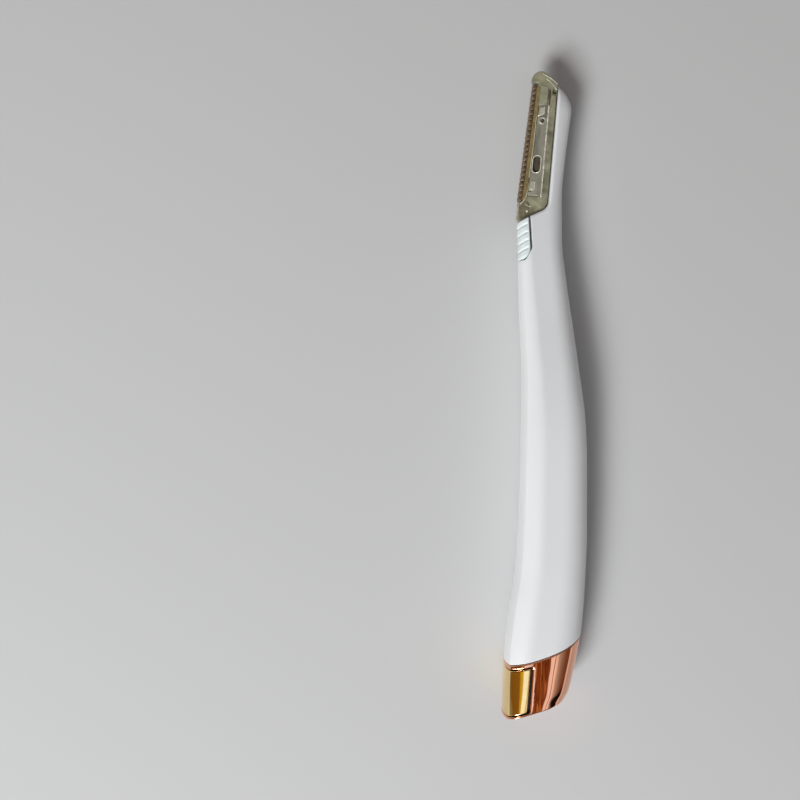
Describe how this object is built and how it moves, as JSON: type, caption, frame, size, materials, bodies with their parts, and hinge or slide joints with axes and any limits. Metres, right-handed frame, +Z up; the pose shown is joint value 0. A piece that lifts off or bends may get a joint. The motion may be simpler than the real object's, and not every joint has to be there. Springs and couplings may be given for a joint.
{
  "type": "dermaplaning tool",
  "caption": "Slim S-curved lighted dermaplaning tool with a slide-off guarded blade head, ridged eject slider and a plated pull-off end cap with a wrap-round power key.",
  "frame": {"origin": "centre of the bounding box in X and Y, on the surface that the tool lies on", "axes": "+Y along the handle toward the blade head, -X the blade's side, +Z up, square to the broad side"},
  "size_m": [0.0212, 0.1613, 0.0146],
  "materials": {
    "satin_white": "satin pearl",
    "cool_white": "satin",
    "white_nylon": "as moulded",
    "rose_gold": "metal plated, mirror bright",
    "yellow_gold": "metal plated, mirror bright",
    "smoky_clear": "translucent",
    "polished_steel": "ground",
    "etched_steel": "etched",
    "grey_plastic": "as moulded",
    "contact_brass": "stamped",
    "bright_steel": "drawn wire",
    "cell_sleeve": "printed sleeve, plain",
    "board_green": "solder mask",
    "chip_black": "moulded",
    "ferrite_grey": "sintered",
    "capacitor_tan": "ceramic",
    "led_lens": "clear",
    "clear_plastic": "clear",
    "wire_red": "insulation",
    "wire_black": "insulation"
  },
  "bodies": {
    "handle": {"right_shell": "satin_white", "left_shell": "satin_white", "head_rail": "white_nylon", "battery_cell": "cell_sleeve", "battery_cradle": "grey_plastic", "positive_contact": "contact_brass", "negative_strip": "contact_brass", "driver_board": "board_green", "boost_inductor": "ferrite_grey", "driver_chip": "chip_black", "board_capacitor": "capacitor_tan", "board_screw_1": "bright_steel", "board_screw_2": "bright_steel", "light_window": "clear_plastic", "led": "led_lens", "led_board": "board_green", "led_wire_red": "wire_red", "led_wire_black": "wire_black", "slider_spring": "bright_steel"},
    "ejector": {"eject_slider": "cool_white"},
    "head": {"head_carrier": "smoky_clear", "head_cover": "smoky_clear", "blade": "polished_steel", "blade_guard": "etched_steel"},
    "cap": {"end_cap": "rose_gold", "cap_core": "grey_plastic", "switch_board": "board_green", "key_switch": "chip_black", "negative_spring": "bright_steel", "cap_contact": "contact_brass", "cap_leaf": "contact_brass"},
    "key": {"power_key": "yellow_gold"}
  },
  "joints": [
    {"name": "eject_slide", "type": "slide", "parent": "handle", "child": "ejector", "axis": [0.088, 0.9961, 0], "range_m": [0, 0.003], "stiffness_N_per_m": 100, "springref_m": -0.002, "deforming": ["slider_spring"]},
    {"name": "head_slide", "type": "slide", "parent": "ejector", "child": "head", "axis": [0.088, 0.9961, 0], "range_m": [0, 0.034]},
    {"name": "cap_slide", "type": "slide", "parent": "handle", "child": "cap", "axis": [-0.0732, -0.9973, 0], "range_m": [0, 0.02]},
    {"name": "power_key_press", "type": "slide", "parent": "cap", "child": "key", "axis": [0.9973, -0.0732, 0], "range_m": [0, 0.0005], "stiffness_N_per_m": 1200, "springref_m": -0.0004}
  ]
}
